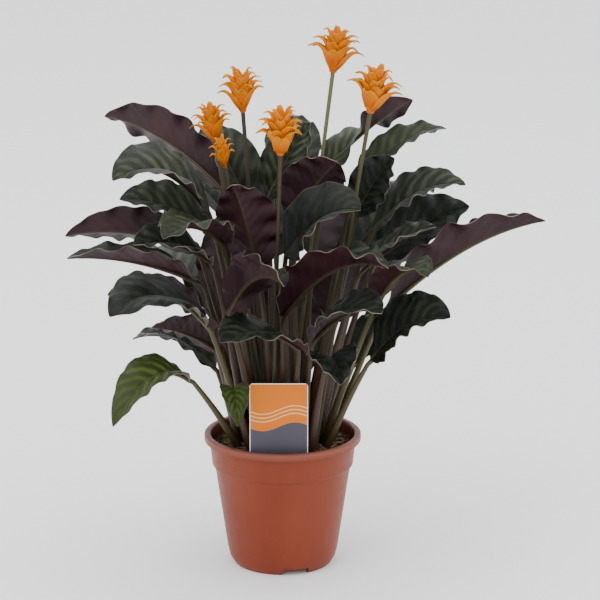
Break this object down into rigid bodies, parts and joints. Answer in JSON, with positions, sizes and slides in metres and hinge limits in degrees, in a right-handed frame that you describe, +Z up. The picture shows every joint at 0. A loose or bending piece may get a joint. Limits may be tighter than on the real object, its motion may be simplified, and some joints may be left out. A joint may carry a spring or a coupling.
{
  "type": "eternal flame calathea",
  "caption": "Potted prayer plant: waved banded leaves with purple undersides fan from a clump under upright orange flower heads, in a round nursery pot with a plain card.",
  "frame": {"origin": "centre of the pot's underside, on the surface that the pot stands on", "axes": "+Z up along the pot's axis, -Y towards the front with the plant label, +X to the right seen from the front"},
  "size_m": [0.4233, 0.3263, 0.4826],
  "materials": {
    "pot_plastic": "semi-matt moulded terracotta-coloured plastic",
    "soil": "rough dark peat",
    "label_card": "printed card, satin",
    "leaf": "satin leaf, banded green above and purple below",
    "flower_stem": "matt, finely haired",
    "flower_head": "waxy petals, satin"
  },
  "bodies": {
    "root": {"flower_head_1": "flower_head", "flower_head_2": "flower_head", "flower_head_3": "flower_head", "flower_head_4": "flower_head", "flower_head_5": "flower_head", "flower_head_6": "flower_head", "flower_stem_1": "flower_stem", "flower_stem_2": "flower_stem", "flower_stem_3": "flower_stem", "flower_stem_4": "flower_stem", "flower_stem_5": "flower_stem", "flower_stem_6": "flower_stem", "label": "label_card", "leaf_01": "leaf", "leaf_02": "leaf", "leaf_03": "leaf", "leaf_04": "leaf", "leaf_05": "leaf", "leaf_06": "leaf", "leaf_07": "leaf", "leaf_08": "leaf", "leaf_09": "leaf", "leaf_10": "leaf", "leaf_11": "leaf", "leaf_12": "leaf", "leaf_13": "leaf", "leaf_14": "leaf", "leaf_15": "leaf", "leaf_16": "leaf", "leaf_17": "leaf", "leaf_18": "leaf", "leaf_19": "leaf", "leaf_20": "leaf", "leaf_21": "leaf", "leaf_22": "leaf", "leaf_23": "leaf", "leaf_24": "leaf", "leaf_25": "leaf", "leaf_26": "leaf", "leaf_27": "leaf", "leaf_28": "leaf", "leaf_29": "leaf", "leaf_30": "leaf", "leaf_31": "leaf", "leaf_32": "leaf", "leaf_33": "leaf", "leaf_34": "leaf", "leaf_35": "leaf", "leaf_36": "leaf", "leaf_37": "leaf", "leaf_38": "leaf", "leaf_39": "leaf", "leaf_40": "leaf", "leaf_41": "leaf", "leaf_42": "leaf", "leaf_43": "leaf", "leaf_44": "leaf", "pot": "pot_plastic", "soil": "soil"}
  },
  "joints": []
}
